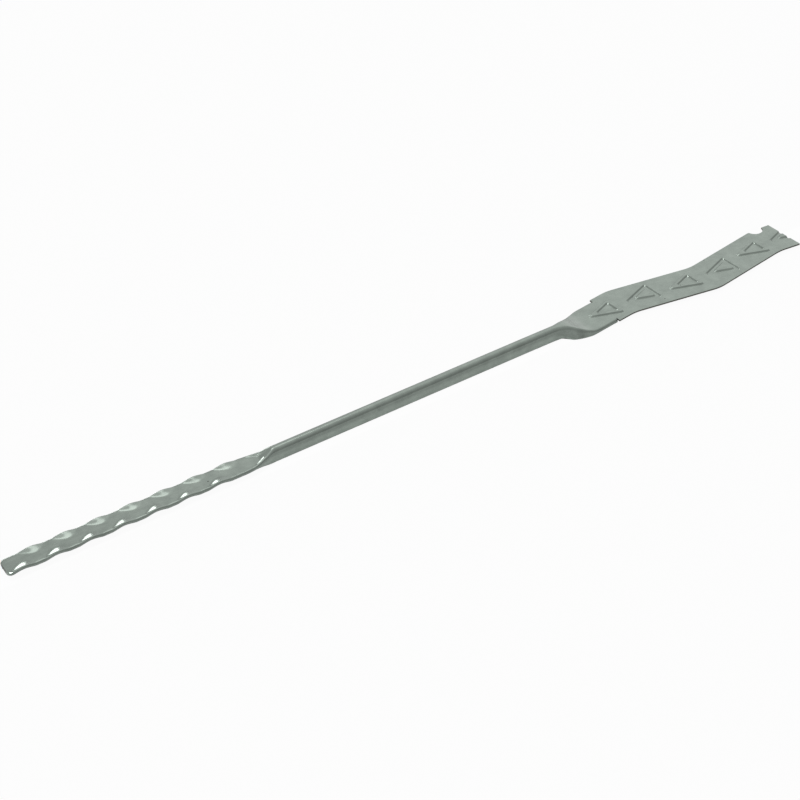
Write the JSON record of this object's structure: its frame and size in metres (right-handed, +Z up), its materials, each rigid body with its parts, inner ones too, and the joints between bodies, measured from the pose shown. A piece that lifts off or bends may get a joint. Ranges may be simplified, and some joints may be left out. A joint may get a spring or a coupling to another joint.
{
  "type": "masonry wall tie",
  "caption": "Folded sheet-steel wall tie: flattened waved end, rolled channel shank, and a flat zigzag plate with pressed triangular beads, bedded in mortar to join the leaves of a cavity wall.",
  "frame": {"origin": "under the middle of the tie's bounding box, on the surface that it lies on", "axes": "+X along the tie from the waved end to the plate, +Y across it towards the notched edge of the plate, +Z up, out of the plate's top face"},
  "size_m": [0.275, 0.0182, 0.0043],
  "materials": {
    "pressed_steel": "bright rolled sheet steel with a faint green-grey cast"
  },
  "bodies": {
    "root": {"wall_tie": "pressed_steel"}
  },
  "joints": []
}
